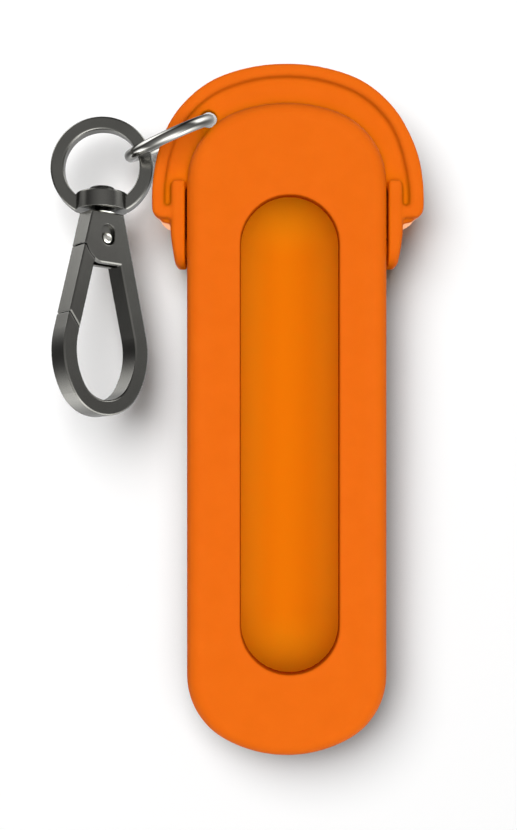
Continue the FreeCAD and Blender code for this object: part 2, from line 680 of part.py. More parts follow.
def make_swivel_eye():
    """The eye ring, cut off level with the swivel collar that it carries."""
    body = new_body("swivel_eye")
    ring = new_sketch(body, "eye_circles")
    drive_circle(ring, "0", "0", "eye_outer")
    drive_circle(ring, "0", "0", "eye_inner")
    feature(body, "Pad", "eye_ring", ring, Length="eye_thickness", Midplane=True)
    fillet(body, "eye_edges", "eye_round", lambda edge: edge.BoundBox.ZLength < 1e-3)
    below = new_sketch(body, "below_collar")
    drive_polygon(below, [("-eye_outer", "-2 * eye_outer"), ("eye_outer", "-2 * eye_outer"),
                          ("eye_outer", "-" + COLLAR_BOTTOM), ("-eye_outer", "-" + COLLAR_BOTTOM)])
    feature(body, "Pocket", "collar_end", below, Length="2 * eye_thickness", Midplane=True)
    collar = new_sketch(body, "collar_circle", "XZ_Plane", z="collar_top")
    drive_circle(collar, "0", "0", "collar_radius")
    feature(body, "Pad", "collar", collar, Length="collar_height")
    collar_top = -size["collar_top"]
    fillet(body, "collar_edge", "collar_round",
           lambda edge: round_edge(edge, size["collar_radius"]) and edge.BoundBox.YMin > collar_top - 1e-3)
    bore = new_sketch(body, "post_bore_circle", "XZ_Plane", z=COLLAR_BOTTOM)
    drive_circle(bore, "0", "0", "post_radius + post_fit")
    feature(body, "Pocket", "post_bore", bore, Length="collar_height")
    place_on_hook(body, 0)
    return body


def make_swivel_post():
    """A headed post: its head rides on the collar and its shank ends in the hook's head."""
    body = new_body("swivel_post")
    sketch = new_sketch(body, "post_profile")
    under_head = "-collar_top + post_head_gap"
    foot = HEAD_TOP + " - post_seat"
    drive_polygon(sketch, [("0", foot), ("post_radius", foot), ("post_radius", under_head),
                           ("post_head_radius", under_head),
                           ("post_head_radius", under_head + " + post_head_height"),
                           ("0", under_head + " + post_head_height")])
    feature(body, "Revolution", "post_turning", sketch, Angle=360.0,
            ReferenceAxis=(sketch, ["V_Axis"]))
    top = number(under_head + " + post_head_height")
    fillet(body, "post_head_edge", "post_head_height / 3",
           lambda edge: round_edge(edge, size["post_head_radius"]) and edge.CenterOfMass.y > top - 1e-3)
    place_on_hook(body, size["hook_roll"])
    return body


# The head's sides lean outwards to meet the loop; a depth is measured down from the head's top.
RISE = "(frame_length - loop_widest)"
SPREAD = "(frame_top_half + loop_side_arc - loop_half_width)"
LEAN = "(atan(%s / %s) - acos(loop_side_arc / sqrt(%s ^ 2 + %s ^ 2)))" % (RISE, SPREAD, RISE, SPREAD)
NOSE_INSIDE = "(nose_depth + nose_run)"


def at_depth(depth):
    return "(%s - (%s))" % (HEAD_TOP, depth)


def flank(depth, inside="0"):
    """How far left of the hook's axis its side lies at a depth, less a distance into the limb."""
    return "-(frame_top_half + (%s) * tan(%s) - %s / cos(%s))" % (depth, LEAN, inside, LEAN)


def loop_side(sketch, outer):
    """One closed outline of the loop: the head's line, two straight sides and three arcs."""
    narrow = "0" if outer else "limb_width"
    depth = "0" if outer else "head_depth"
    lean = math.radians(number(LEAN))
    radius = number("loop_side_arc - " + narrow)
    centre = (number("loop_half_width - loop_side_arc"), number(at_depth("frame_length - loop_widest")))
    corner = (-number(flank(depth, narrow)), number(at_depth(depth)))
    knee = (centre[0] + radius * math.cos(lean), centre[1] + radius * math.sin(lean))
    side, widest = number("loop_side_arc"), number("loop_widest")
    bottom_arc = (centre[0] ** 2 + widest ** 2 - side ** 2) / (2 * (widest - side))
    bottom = (0, centre[1] - widest + bottom_arc)
    fall = math.atan2(bottom[1] - centre[1], -centre[0])
    heel = (centre[0] + radius * math.cos(fall), centre[1] + radius * math.sin(fall))

    def mirrored(point):
        return (-point[0], point[1])

    top = line(sketch, corner, mirrored(corner))
    left = line(sketch, mirrored(corner), mirrored(knee))
    left_arc = arc(sketch, mirrored(centre), radius, mirrored(knee), mirrored(heel))
    foot = arc(sketch, bottom, bottom_arc - number(narrow), mirrored(heel), heel)
    right_arc = arc(sketch, centre, radius, heel, knee)
    right = line(sketch, knee, corner)
    tie(sketch, "Coincident", right, 2, top, 1)
    tie(sketch, "Coincident", top, 2, left, 1)
    for first, second in ((left, left_arc), (left_arc, foot), (foot, right_arc), (right_arc, right)):
        tie(sketch, "Tangent", first, 2, second, 1)
    for curve, sign in ((left_arc, "-"), (right_arc, "")):
        drive_point(sketch, (curve, 3), sign + "(loop_half_width - loop_side_arc)",
                    at_depth("frame_length - loop_widest"))
    for curve in (left_arc, right_arc):
        drive(sketch, "Radius", (curve,), "loop_side_arc - " + narrow)
    drive_point(sketch, (top, 1), "-1 * " + flank(depth, narrow), at_depth(depth))
    drive_point(sketch, (top, 2), flank(depth, narrow), at_depth(depth))
    drive(sketch, "Radius", (foot,), BOTTOM_ARC + " - " + narrow)


def make_hook_frame():
    """The hook's head and open loop, with a slot and two cheeks for the gate."""
    body = new_body("hook_frame")
    sketch = new_sketch(body, "frame_outline")
    loop_side(sketch, outer=True)
    loop_side(sketch, outer=False)
    feature(body, "Pad", "frame_plate", sketch, Length="frame_thickness", Midplane=True)
    half = size["frame_thickness"] / 2
    fillet(body, "frame_edges", "frame_round",
           lambda edge: at_height(edge, half) or at_height(edge, -half), kind="Chamfer")
    cut_gate_gap(body)
    cut_slot(body)
    seat = new_sketch(body, "post_seat_circle", "XZ_Plane", z="-1 * " + HEAD_TOP)
    drive_circle(seat, "0", "0", "post_radius")
    feature(body, "Pocket", "post_seat_bore", seat, Length="post_seat", Reversed=True)
    bore = new_sketch(body, "pin_bore_circle")
    drive_circle(bore, "0", PIVOT_Y, "pin_radius")
    feature(body, "Pocket", "pin_bore", bore, Length="2 * frame_thickness", Midplane=True)
    for sign in (1, -1):
        name = "front_dimple" if sign > 0 else "back_dimple"
        dimple = new_sketch(body, name + "_outline", z="%d * frame_thickness / 2" % sign)
        stadium(dimple, "dimple_radius", PIVOT_Y, PIVOT_Y + " + dimple_rise")
        feature(body, "Pocket", name, dimple, Length="dimple_depth", Reversed=sign < 0)
    place_on_hook(body, size["hook_roll"])
    return body


def cut_gate_gap(body):
    """Opens the left limb for the gate, from the cheeks' round edge to the slanted nose."""
    sketch = new_sketch(body, "gate_gap_outline")
    radius = number("cheek_radius")
    pivot = (0, number(PIVOT_Y))
    left_y = number(at_depth("split_depth"))
    left_x = -math.sqrt(radius ** 2 - (left_y - pivot[1]) ** 2)
    low = (0, pivot[1] - radius)
    outside = number(flank(NOSE_INSIDE)) - number("limb_width")
    nose_x, nose_y = nose_ends()
    cheek = arc(sketch, pivot, radius, (left_x, left_y), low)
    drop = line(sketch, low, (nose_x[1], nose_y[1]))
    nose = line(sketch, (nose_x[1], nose_y[1]), (nose_x[0], nose_y[0]))
    rise = line(sketch, (nose_x[0], nose_y[0]), (outside, left_y))
    split = line(sketch, (outside, left_y), (left_x, left_y))
    chain(sketch, [cheek, drop, nose, rise, split])
    drive_point(sketch, (cheek, 3), "0", PIVOT_Y)
    drive(sketch, "Radius", (cheek,), "cheek_radius")
    drive_point(sketch, (cheek, 2), "0")
    drive_point(sketch, (split, 1), flank(NOSE_INSIDE) + " - limb_width", at_depth("split_depth"))
    tie(sketch, "Horizontal", split)
    for point, end in ((1, 1), (2, 0)):
        drive_point(sketch, (nose, point), *nose_formulas()[end])
    feature(body, "Pocket", "gate_gap", sketch, Length="2 * frame_thickness", Midplane=True)


def nose_formulas():
    """Both ends of the nose joint, carried past the limb, outer end first."""
    outer, inner = flank("nose_depth"), flank(NOSE_INSIDE, "limb_width")
    past_outer = "2 * %s - %s" % (outer, inner)
    past_inner = "2 * %s - %s" % (inner, outer)
    return [(past_outer, at_depth("nose_depth - nose_run")),
            (past_inner, at_depth(NOSE_INSIDE + " + nose_run"))]


def nose_ends():
    points = [(number(x_text), number(y_text)) for x_text, y_text in nose_formulas()]
    return [point[0] for point in points], [point[1] for point in points]


def cut_slot(body):
    """The slot between the cheeks, open below and closed above and on the right."""
    sketch = new_sketch(body, "slot_outline")
    drive_polygon(sketch, [("slot_half", at_depth("slot_depth")),
                           ("-slot_half", at_depth("slot_depth")),
                           ("-slot_half", at_depth("pivot_depth")),
                           (flank("split_depth") + " - web_play", at_depth("split_depth")),
                           (flank("split_depth") + " - web_play", at_depth("2 * head_depth")),
                           ("0", at_depth("2 * head_depth")),
                           ("slot_half", at_depth("head_depth"))])
    feature(body, "Pocket", "slot", sketch, Length="slot_width", Midplane=True)


def make_gate():
    """The gate: a limb, a web that fills the slot below, and an ear beside the spring."""
    body = new_body("gate")
    limb = new_sketch(body, "gate_limb_outline")
    outer_low = "(nose_depth - 1.5 * gate_gap)"
    inner_low = "(nose_depth + nose_run - 1.5 * gate_gap)"
    drive_polygon(limb, [(flank("split_depth"), at_depth("split_depth + gate_gap")),
                         (flank(outer_low), at_depth(outer_low)),
                         (flank(inner_low, "limb_width"), at_depth(inner_low)),
                         (flank("pivot_depth", "limb_width"), at_depth("pivot_depth"))])
    feature(body, "Pad", "gate_limb", limb, Length="frame_thickness", Midplane=True)
    half = size["frame_thickness"] / 2
    fillet(body, "gate_edges", "frame_round",
           lambda edge: at_height(edge, half) or at_height(edge, -half), kind="Chamfer")
    relief = new_sketch(body, "cheek_relief_circle")
    drive_circle(relief, "0", PIVOT_Y, "cheek_radius + gate_gap")
    feature(body, "Pocket", "cheek_relief", relief, Length="2 * frame_thickness", Midplane=True)
    add_ear(body)
    place_on_hook(body, size["hook_roll"])
    return body


def add_ear(body):
    """The web between the cheeks, thinned to an ear where the spring sits beside it."""
    web_thickness = "slot_width - 2 * web_play"
    web = new_sketch(body, "web_outline")
    drive_polygon(web, [(flank("split_depth") + " + gate_gap", at_depth("split_depth + 4 * gate_gap")),
                        (flank("split_depth + ear_radius", "gate_gap"), at_depth("split_depth + ear_radius")),
                        (flank("head_depth", "limb_width"), at_depth("head_depth + gate_gap")),
                        ("0.7 * ear_radius", at_depth("pivot_depth + 0.7 * ear_radius")),
                        ("-0.7 * ear_radius", at_depth("pivot_depth - 0.7 * ear_radius"))])
    feature(body, "Pad", "web", web, Length=web_thickness, Midplane=True)
    disc = new_sketch(body, "ear_circle")
    drive_circle(disc, "0", PIVOT_Y, "ear_radius")
    feature(body, "Pad", "ear", disc, Length=web_thickness, Midplane=True)
    room = new_sketch(body, "spring_room_circle", z="(slot_width / 2 - web_play)")
    drive_circle(room, "0", PIVOT_Y, "ear_radius + 2 * web_play")
    feature(body, "Pocket", "spring_room", room, Length=web_thickness + " - ear_thickness")
    bore = new_sketch(body, "gate_bore_circle")
    drive_circle(bore, "0", PIVOT_Y, "pin_radius + pin_fit")
    feature(body, "Pocket", "gate_bore", bore, Length="2 * frame_thickness", Midplane=True)


def make_gate_pin():
    """A rivet through both cheeks, with a domed head in each dimple."""
    body = new_body("gate_pin")
    sketch = new_sketch(body, "pin_profile", "YZ_Plane", x=PIVOT_Y)
    seat = "(frame_thickness / 2 - dimple_depth)"
    drive_polygon(sketch, [("0", "-1 * %s - pin_head_height" % seat),
                           ("pin_head_radius", "-1 * %s - pin_head_height" % seat),
                           ("pin_head_radius", "-1 * " + seat), ("pin_radius", "-1 * " + seat),
                           ("pin_radius", seat), ("pin_head_radius", seat),
                           ("pin_head_radius", seat + " + pin_head_height"),
                           ("0", seat + " + pin_head_height")])
    feature(body, "Revolution", "pin_turning", sketch, Angle=360.0, ReferenceAxis=(sketch, ["V_Axis"]))
    end = number(seat + " + pin_head_height")
    fillet(body, "pin_head_edges", "pin_head_round",
           lambda edge: at_height(edge, end) or at_height(edge, -end))
    place_on_hook(body, size["hook_roll"])
    return body


def make_gate_spring():
    """A torsion spring round the pin, beside the gate's ear, its legs running off along the coil's ends."""
    coil_radius = "pin_radius + spring_play + spring_wire / 2"
    rise = "spring_pitch * spring_turns"
    leg_rise = "spring_leg * spring_pitch / (2 * pi * (" + coil_radius + "))"
    start = "(slot_width - web_play - spring_wire) / 2 - " + rise + " - " + leg_rise
    coil = primitive("Part::Helix", "spring_coil", ("0", PIVOT_Y, start),
                     Radius=coil_radius, Pitch="spring_pitch", Height=rise)
    lower = primitive("Part::Line", "lower_leg", (coil_radius, PIVOT_Y, start),
                      Y1="-spring_leg", Z1="-(" + leg_rise + ")", X2="0", Y2="0", Z2="0")
    upper = primitive("Part::Line", "upper_leg", (coil_radius, PIVOT_Y, start + " + " + rise),
                      Y1="0", Z1="0", X2="0", Y2="spring_leg", Z2=leg_rise)
    path = doc.addObject("Part::MultiFuse", "spring_path")
    path.Shapes = [lower, coil, upper]
    foot = (coil_radius, PIVOT_Y + " - spring_leg", start + " - " + leg_rise)
    item = doc.addObject("Part::Sweep", "gate_spring")
    item.Label = "gate_spring"
    item.Sections = [primitive("Part::Circle", "spring_section", foot, 90, Radius="spring_wire / 2")]
    item.Spine = (path, [])
    item.Solid = True
    place_on_hook(item, size["hook_roll"])
    return item


# ---------------------------------------------------------------- the nodes

NODES = [make_sleeve(), make_hood(), make_jump_ring(), make_swivel_eye(), make_swivel_post(),
         make_hook_frame(), make_gate(), make_gate_pin(), make_gate_spring()]


def check_and_write():
    doc.recompute()
    for item in doc.Objects:
        if any(word in item.State for word in ("Invalid", "Error")):
            raise RuntimeError("%s is %s" % (item.Name, item.State))
    for node in NODES:
        if node.Shape.isNull() or not node.Shape.isValid() or not node.Shape.Solids:
            raise RuntimeError(node.Label + " is not a sound solid")
    os.makedirs("parts", exist_ok=True)
    for node in NODES:
        node.Shape.exportStep("parts/%s.step" % node.Label)
        print(node.Label, "%.2f mm3" % node.Shape.Volume)


check_and_write()
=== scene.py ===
"""Looks of the silicone carry sleeve and its snap hook, on the photo's white table."""

import json
import math

import bpy
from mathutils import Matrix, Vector


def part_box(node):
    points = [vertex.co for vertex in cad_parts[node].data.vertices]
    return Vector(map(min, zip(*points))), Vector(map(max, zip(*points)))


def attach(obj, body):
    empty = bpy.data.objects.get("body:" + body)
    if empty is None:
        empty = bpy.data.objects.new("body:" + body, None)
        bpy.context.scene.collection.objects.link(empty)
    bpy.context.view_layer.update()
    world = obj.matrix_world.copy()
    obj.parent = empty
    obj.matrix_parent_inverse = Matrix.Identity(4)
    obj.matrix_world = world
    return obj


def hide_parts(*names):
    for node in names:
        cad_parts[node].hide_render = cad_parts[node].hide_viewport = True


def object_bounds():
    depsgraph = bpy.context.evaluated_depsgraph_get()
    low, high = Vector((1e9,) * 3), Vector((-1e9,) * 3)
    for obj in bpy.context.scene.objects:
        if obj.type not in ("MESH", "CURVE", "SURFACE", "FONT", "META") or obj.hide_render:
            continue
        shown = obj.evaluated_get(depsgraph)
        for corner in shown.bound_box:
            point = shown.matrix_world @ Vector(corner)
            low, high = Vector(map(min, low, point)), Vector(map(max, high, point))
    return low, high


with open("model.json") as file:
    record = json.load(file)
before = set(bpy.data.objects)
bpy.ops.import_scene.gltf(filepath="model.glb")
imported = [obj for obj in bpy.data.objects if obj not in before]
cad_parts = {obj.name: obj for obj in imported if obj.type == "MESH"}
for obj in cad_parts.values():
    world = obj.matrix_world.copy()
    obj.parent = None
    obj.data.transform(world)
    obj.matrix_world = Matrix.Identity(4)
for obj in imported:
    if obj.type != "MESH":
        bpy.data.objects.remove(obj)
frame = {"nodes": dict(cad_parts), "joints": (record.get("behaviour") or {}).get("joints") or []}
cad_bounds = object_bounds()
nodes = frame["nodes"]

MM = 0.001


# ---------------------------------------------------------------- shader helpers

NOISE_ROUGHNESS = 0.55
RAMP_PLACES = (0.3, 0.7)
BEVEL_SAMPLES = 6
OPENNESS_SAMPLES = 8


def new_material(name):
    material = bpy.data.materials.new(name)
    material.use_nodes = True
    return material, material.node_tree.nodes, material.node_tree.links


def noise(n, links, scale, detail=4.0):
    """Noise in the object's own coordinates, at a scale in features for each metre."""
    place = n.new("ShaderNodeTexCoord")
    texture = n.new("ShaderNodeTexNoise")
    texture.inputs["Scale"].default_value = scale
    texture.inputs["Detail"].default_value = detail
    texture.inputs["Roughness"].default_value = NOISE_ROUGHNESS
    links.new(place.outputs["Object"], texture.inputs["Vector"])
    return texture.outputs["Fac"]


def ramp(n, links, source, low, high):
    """Mixes two colours by a noise, whose values lie round the middle of 0..1."""
    node = n.new("ShaderNodeValToRGB")
    for element, place, colour in zip(node.color_ramp.elements, RAMP_PLACES, (low, high)):
        element.position = place
        element.color = (*colour, 1.0)
    links.new(source, node.inputs["Fac"])
    return node.outputs["Color"]


def spread(n, links, source, low, high):
    """Maps 0..1 to a range of values."""
    node = n.new("ShaderNodeMapRange")
    node.inputs["To Min"].default_value = low
    node.inputs["To Max"].default_value = high
    links.new(source, node.inputs["Value"])
    return node.outputs["Result"]


def bump(n, links, source, distance, strength, edge_round=0.0):
    """Fine grain, on edges that are rounded for the light where edge_round gives a radius."""
    node = n.new("ShaderNodeBump")
    node.inputs["Distance"].default_value = distance
    node.inputs["Strength"].default_value = strength
    links.new(source, node.inputs["Height"])
    if edge_round:
        bevel = n.new("ShaderNodeBevel")
        bevel.samples = BEVEL_SAMPLES
        bevel.inputs["Radius"].default_value = edge_round
        links.new(bevel.outputs["Normal"], node.inputs["Normal"])
    return node.outputs["Normal"]


def plug(links, value, socket):
    """Sets a socket to a number or a colour, or links it to another socket."""
    if isinstance(value, (float, tuple)):
        socket.default_value = value
    else:
        links.new(value, socket)


def maths(n, links, operation, *values):
    """One step of arithmetic on numbers and sockets."""
    node = n.new("ShaderNodeMath")
    node.operation = operation
    for socket, value in zip(node.inputs, values):
        plug(links, value, socket)
    return node.outputs[0]


def step(n, links, source, start, end):
    """0 at start and 1 at end, with a soft rise between them."""
    node = n.new("ShaderNodeMapRange")
    node.interpolation_type = "SMOOTHSTEP"
    node.inputs["From Min"].default_value = start
    node.inputs["From Max"].default_value = end
    links.new(source, node.inputs["Value"])
    return node.outputs["Result"]


def mix(n, links, factor, first, second, how="MIX"):
    """Mixes two colours."""
    node = n.new("ShaderNodeMix")
    node.data_type = "RGBA"
    node.blend_type = how
    sockets = {socket.name: socket for socket in node.inputs if socket.enabled}
    for name, value in (("Factor", factor), ("A", first), ("B", second)):
        plug(links, value, sockets[name])
    return [socket for socket in node.outputs if socket.enabled][0]


def place_parts(n, links):
    """The object's own x, y and z, in metres."""
    place = n.new("ShaderNodeTexCoord")
    parts = n.new("ShaderNodeSeparateXYZ")
    links.new(place.outputs["Object"], parts.inputs[0])
    return parts.outputs


def openness(n, links, reach):
    """1 on open ground, down to 0 in a crevice."""
    node = n.new("ShaderNodeAmbientOcclusion")
    node.samples = OPENNESS_SAMPLES
    node.inputs["Distance"].default_value = reach
    return node.outputs["AO"]


# ---------------------------------------------------------------- materials

SILICONE = ((0.895, 0.160, 0.0062), (0.925, 0.168, 0.0072))
POCKET = (0.825, 0.202, 0.0025, 1.0)          # the yellower orange seen through the window
POCKET_SIDE_PAINTED_LIGHT = (0.88, 0.265, 0.0060, 1.0)      # painted light: brighter and yellower towards the window's sides
POCKET_END_PAINTED_LIGHT = (1.0, 0.315, 0.0050, 1.0)        # painted light: brighter and yellower towards its ends
WINDOW_WALL_SHADE = (0.500, 0.085, 0.0012, 1.0)     # painted shade on the window's edge walls, from its rounding down
THIN_END_PAINTED_LIGHT = (0.930, 0.420, 0.2200, 1.0)        # painted light on the hood's thin lower ends: a pale colour and a glow in place of light coming through
THIN_END_PAINTED_GLOW = 0.80
CREVICE = (0.950, 1.2, 0.15, 1.0)             # what shade does to the orange
BOUNCE = (0.260, 0.085, 0.040, 1.0)           # what the outside passes on to the table
POCKET_BOUNCE = (1.0, 0.26, 0.004, 1.0)       # what the pocket passes on inside itself
CREVICE_BOUNCE = (1.0, 0.48, 0.004, 1.0)      # the same beside the hood's arms
SILICONE_SHEEN = 0.06

# Where the silicone's colours change, in its own coordinates. Each pair holds the place where
# a colour starts to rise and the place where it is full.
WINDOW_CENTRE = (0.45 * MM, -0.90 * MM)
POCKET_WIDTH = (13.6 * MM, 13.3 * MM)         # these two are distances from the window's centre line
SIDE_LIGHT_SPAN = (2.5 * MM, 7.5 * MM)
END_LIGHT_SPAN = (28.0 * MM, 37.0 * MM)             # a distance from the window's middle, where the painted light towards the ends rises
POCKET_FOOT = (-46.4 * MM, -46.0 * MM)
POCKET_TOP = (38.7 * MM, 38.3 * MM)
POCKET_BACK = (0.8 * MM, 1.2 * MM)
FOOT_START = -38.0 * MM                       # the pocket's round foot starts here
FOOT_SLOPE = 0.5
WALL_SHADE_SPAN = (9.5 * MM, 9.8 * MM)
UNDER_FRONT = (11.95 * MM, 11.75 * MM)
THIN_BESIDE = (18.3 * MM, 18.6 * MM)
THIN_FOOT = (35.0 * MM, 34.4 * MM)
THIN_DEPTH = (9.0 * MM, 7.8 * MM)
ARM_GAP_INNER = (15.2 * MM, 15.4 * MM)
ARM_GAP_OUTER = (16.4 * MM, 16.2 * MM)
ARM_GAP_FOOT = (24.0 * MM, 25.0 * MM)
SILICONE_SHADE_REACH = 2.5 * MM
SILICONE_SHADE = (0.95, 0.35)                 # the openness at which shade starts, and is full
SHEEN_OPENNESS = (0.75, 1.0)


def inside_pocket(n, links, x, y, z, across):
    """1 in the pocket and on its inner walls, 0 on the sleeve's outer sides and back."""
    length = maths(n, links, "MULTIPLY", step(n, links, y, *POCKET_FOOT), step(n, links, y, *POCKET_TOP))
    foot = maths(n, links, "MAXIMUM", maths(n, links, "SUBTRACT", FOOT_START, y), 0.0)
    width = maths(n, links, "MULTIPLY_ADD", foot, FOOT_SLOPE, across)
    inside = maths(n, links, "MULTIPLY", step(n, links, width, *POCKET_WIDTH), length)
    return maths(n, links, "MULTIPLY", inside, step(n, links, z, *POCKET_BACK))


def orange_silicone():
    """Moulded silicone: satin, faintly mottled, with a little light passing through it, painted shade in
    crevices and on the window's walls, painted light towards the pocket's sides and ends, and a painted
    glow on the hood's thin lower ends.
    """
    material, n, links = new_material("orange_silicone")
    shader = n["Principled BSDF"]
    x, y, z = place_parts(n, links)
    colour = ramp(n, links, noise(n, links, 260.0), *SILICONE)

    across = maths(n, links, "ABSOLUTE", maths(n, links, "SUBTRACT", x, WINDOW_CENTRE[0]))
    along = maths(n, links, "ABSOLUTE", maths(n, links, "SUBTRACT", y, WINDOW_CENTRE[1]))
    inside = inside_pocket(n, links, x, y, z, across)
    # Painted light: the pocket turns brighter and yellower towards the window's sides and ends.
    pocket = mix(n, links, step(n, links, across, *SIDE_LIGHT_SPAN), POCKET, POCKET_SIDE_PAINTED_LIGHT)
    pocket = mix(n, links, step(n, links, along, *END_LIGHT_SPAN), pocket, POCKET_END_PAINTED_LIGHT)
    # Painted shade: the window's edge walls are darker.
    pocket = mix(n, links, step(n, links, z, *WALL_SHADE_SPAN), pocket, WINDOW_WALL_SHADE)
    sunk = maths(n, links, "MULTIPLY", inside, step(n, links, z, *UNDER_FRONT))
    colour = mix(n, links, sunk, colour, pocket)

    opening = openness(n, links, SILICONE_SHADE_REACH)
    shade = step(n, links, opening, *SILICONE_SHADE)
    colour = mix(n, links, shade, colour, mix(n, links, 1.0, colour, CREVICE, "MULTIPLY"))

    # Painted light: the hood's thin lower ends are painted pale and made to glow.
    aside = maths(n, links, "ABSOLUTE", x)
    thin = maths(n, links, "MULTIPLY", step(n, links, y, *THIN_FOOT), step(n, links, z, *THIN_DEPTH))
    thin = maths(n, links, "MULTIPLY", step(n, links, aside, *THIN_BESIDE), thin)
    colour = mix(n, links, thin, colour, THIN_END_PAINTED_LIGHT)
    shader.inputs["Emission Color"].default_value = THIN_END_PAINTED_LIGHT
    glow = maths(n, links, "MULTIPLY", thin, THIN_END_PAINTED_GLOW)
    links.new(glow, shader.inputs["Emission Strength"])

    between = maths(n, links, "MULTIPLY", step(n, links, aside, *ARM_GAP_INNER),
                    step(n, links, aside, *ARM_GAP_OUTER))
    between = maths(n, links, "MULTIPLY", between, step(n, links, y, *ARM_GAP_FOOT))
    bounce = mix(n, links, inside, BOUNCE, POCKET_BOUNCE)
    bounce = mix(n, links, between, bounce, CREVICE_BOUNCE)
    path = n.new("ShaderNodeLightPath")
    colour = mix(n, links, path.outputs["Is Diffuse Ray"], colour, bounce)
    links.new(colour, shader.inputs["Base Color"])

    roughness = spread(n, links, noise(n, links, 900.0), 0.50, 0.58)
    links.new(roughness, shader.inputs["Roughness"])
    grain = bump(n, links, noise(n, links, 5200.0, 6.0), 0.02 * MM, 0.35)
    links.new(grain, shader.inputs["Normal"])
    sheen = maths(n, links, "MULTIPLY", step(n, links, opening, *SHEEN_OPENNESS),
                  step(n, links, sunk, 1.0, 0.0))
    sheen = maths(n, links, "MULTIPLY", sheen, SILICONE_SHEEN)
    links.new(sheen, shader.inputs["Specular IOR Level"])
    shader.inputs["Subsurface Weight"].default_value = 0.12
    shader.inputs["Subsurface Radius"].default_value = (1.0, 0.35, 0.1)
    shader.inputs["Subsurface Scale"].default_value = 1.5 * MM
    return material


GUNMETAL = ((0.185, 0.182, 0.168), (0.215, 0.212, 0.196))
# Painted shade: the metal's colour in its crevices.
GUNMETAL_CREVICE_SHADE = (0.03, 0.03, 0.028, 1.0)
METAL_SHADE_REACH = 0.8 * MM
METAL_SHADE = (0.80, 0.20)
METAL_EDGE = 0.16 * MM
POLISH_SPREAD = 0.07                          # how much the roughness of polished metal varies


def gunmetal():
    """Satin gunmetal plating with faint grain and cloudy polish, and painted shade in its crevices."""
    material, n, links = new_material("gunmetal")
    shader = n["Principled BSDF"]
    colour = ramp(n, links, noise(n, links, 180.0), *GUNMETAL)
    # Painted shade darkens the metal in its crevices.
    shade = step(n, links, openness(n, links, METAL_SHADE_REACH), *METAL_SHADE)
    links.new(mix(n, links, shade, colour, GUNMETAL_CREVICE_SHADE), shader.inputs["Base Color"])
    roughness = spread(n, links, noise(n, links, 1500.0), 0.17, 0.23)
    links.new(roughness, shader.inputs["Roughness"])
    grain = bump(n, links, noise(n, links, 2500.0, 2.0), 0.002 * MM, 0.1, METAL_EDGE)
    links.new(grain, shader.inputs["Normal"])
    shader.inputs["Metallic"].default_value = 1.0
    return material


def polished(name, low, high, smoothest):
    """Polished metal between two colours, at a roughness that varies a little."""
    material, n, links = new_material(name)
    shader = n["Principled BSDF"]
    links.new(ramp(n, links, noise(n, links, 300.0), low, high), shader.inputs["Base Color"])
    roughness = spread(n, links, noise(n, links, 2000.0), smoothest, smoothest + POLISH_SPREAD)
    links.new(roughness, shader.inputs["Roughness"])
    shader.inputs["Metallic"].default_value = 1.0
    return material


def dress(node, material):
    """Gives a CAD piece its material."""
    mesh = nodes[node].data
    mesh.materials.clear()
    mesh.materials.append(material)


silicone = orange_silicone()
plating = gunmetal()
ring_plating = polished("polished_ring", (0.29, 0.285, 0.27), (0.35, 0.345, 0.32), 0.08)
pin_plating = polished("polished_pin", (0.80, 0.79, 0.72), (0.88, 0.87, 0.80), 0.15)
post_plating = polished("dark_post", (0.055, 0.054, 0.050), (0.075, 0.074, 0.070), 0.18)
spring_wire = polished("spring_steel", (0.42, 0.42, 0.41), (0.50, 0.50, 0.49), 0.25)

for node, material in (("jump_ring", ring_plating), ("swivel_eye", plating),
                       ("swivel_post", post_plating), ("hook_frame", plating), ("gate", plating),
                       ("gate_pin", pin_plating), ("gate_spring", spring_wire)):
    dress(node, material)


# ---------------------------------------------------------------- silicone skins

# All but the last are in millimetres. Each pair holds where a change starts and where it is full.
ARM_INSIDE = 15.975                 # the arms' inner faces
ARM_THICKNESS = 2.25
ARM_TOP = 31.8                      # only what is nearer the foot than this belongs to the arms
ARM_TAPER = 0.6
TAPER_SPAN = (31.5, 25.5)
TIP_EXTRA = 0.22
TIP_SPAN = (51.0, 56.5)
RIGHT_EXTRA = 0.35
RIGHT_SPAN = (18.5, 20.8)
STUD_END = 17.5 * MM

RELAX_FACTOR = 0.5


def soft_skin(node, body, material, voxel, relax, reshape):
    """A moulded skin in a CAD soft solid's place: evenly remeshed, relaxed and reshaped."""
    mesh = nodes[node].data.copy()
    mesh.materials.clear()
    mesh.materials.append(material)
    piece = bpy.data.objects.new(node + "_skin", mesh)
    bpy.context.scene.collection.objects.link(piece)
    remesh = piece.modifiers.new("even", "REMESH")
    remesh.mode = "VOXEL"
    remesh.voxel_size = voxel
    remesh.use_smooth_shade = True
    soften = piece.modifiers.new("soften", "SMOOTH")
    soften.factor = RELAX_FACTOR
    soften.iterations = relax
    depsgraph = bpy.context.evaluated_depsgraph_get()
    piece.data = bpy.data.meshes.new_from_object(piece.evaluated_get(depsgraph))
    piece.modifiers.clear()
    for vertex in piece.data.vertices:
        vertex.co = reshape(vertex.co)
    piece.visible_glossy = False      # its bright colour doesn't tint the metal
    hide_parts(node)
    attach(piece, body)


def eased(value, start, end):
    """0 at start and 1 at end, with a soft rise between them."""
    part = min(max((value - start) / (end - start), 0.0), 1.0)
    return part * part * (3.0 - 2.0 * part)


def hood_shape(place):
    """The arms' feet draw in on their outer sides, and the tip and right side stand out more."""
    x, y, z = (part / MM for part in place)
    side = math.copysign(1.0, x)
    if y < ARM_TOP and abs(x) > ARM_INSIDE:
        outward = (abs(x) - ARM_INSIDE) / ARM_THICKNESS
        x -= side * ARM_TAPER * outward * eased(y, *TAPER_SPAN)
    y += TIP_EXTRA * eased(y, *TIP_SPAN)
    if x > 0.0:
        x += RIGHT_EXTRA * eased(x, *RIGHT_SPAN)
    return Vector((x, y, z)) * MM


